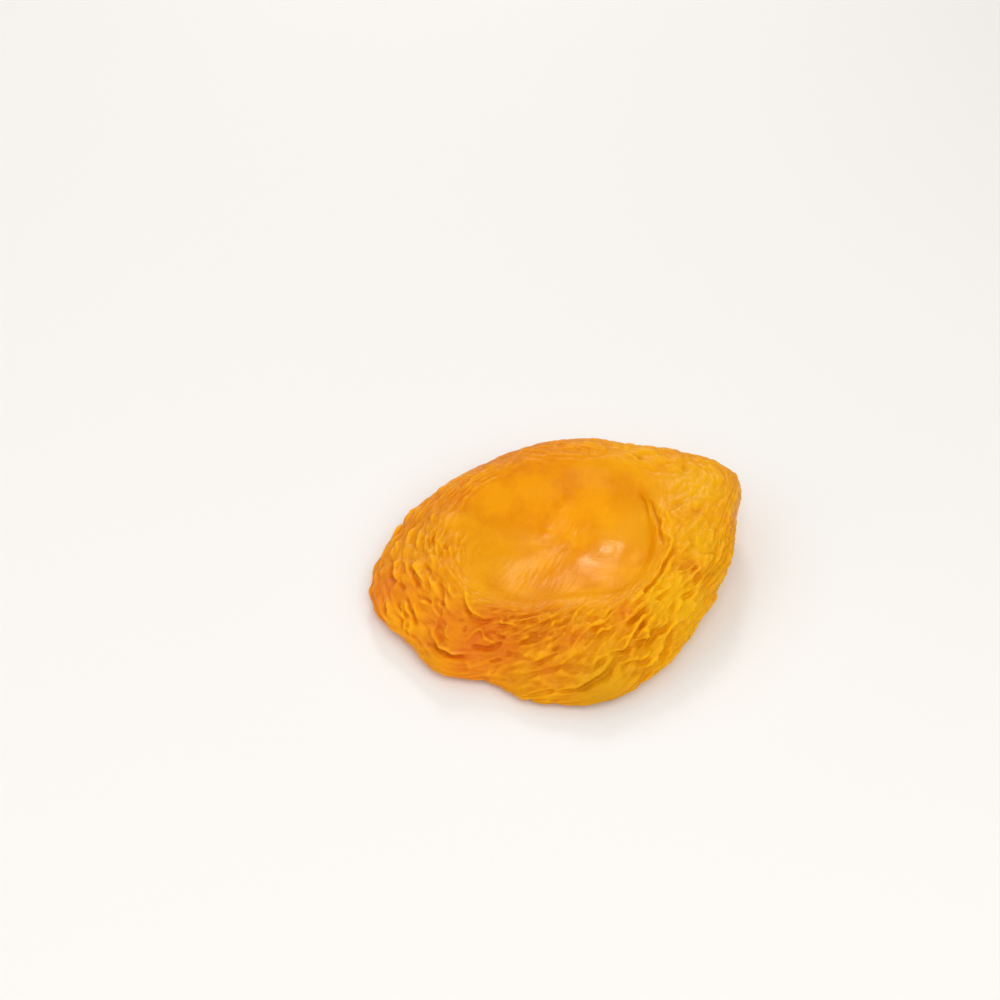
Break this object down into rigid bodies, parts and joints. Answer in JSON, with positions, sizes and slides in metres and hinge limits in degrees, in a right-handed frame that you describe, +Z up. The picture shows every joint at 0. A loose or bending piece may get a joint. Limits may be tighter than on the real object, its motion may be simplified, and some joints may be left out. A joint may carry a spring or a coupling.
{
  "type": "dried peach half",
  "caption": "Dried peach half, cut face up: a shallow smooth pit hollow in a shrivelled, wrinkled saucer of orange flesh with a thin lip and a flat spot to rest on.",
  "frame": {"origin": "middle of the box round the half, on the surface it rests on", "axes": "+Z up through the pit hollow, +X along the half's longest side, +Y towards the raised back edge"},
  "size_m": [0.067, 0.0574, 0.0125],
  "materials": {
    "peach_flesh": "satin, glossier in the hollow"
  },
  "bodies": {
    "root": {"dried_peach": "peach_flesh"}
  },
  "joints": []
}
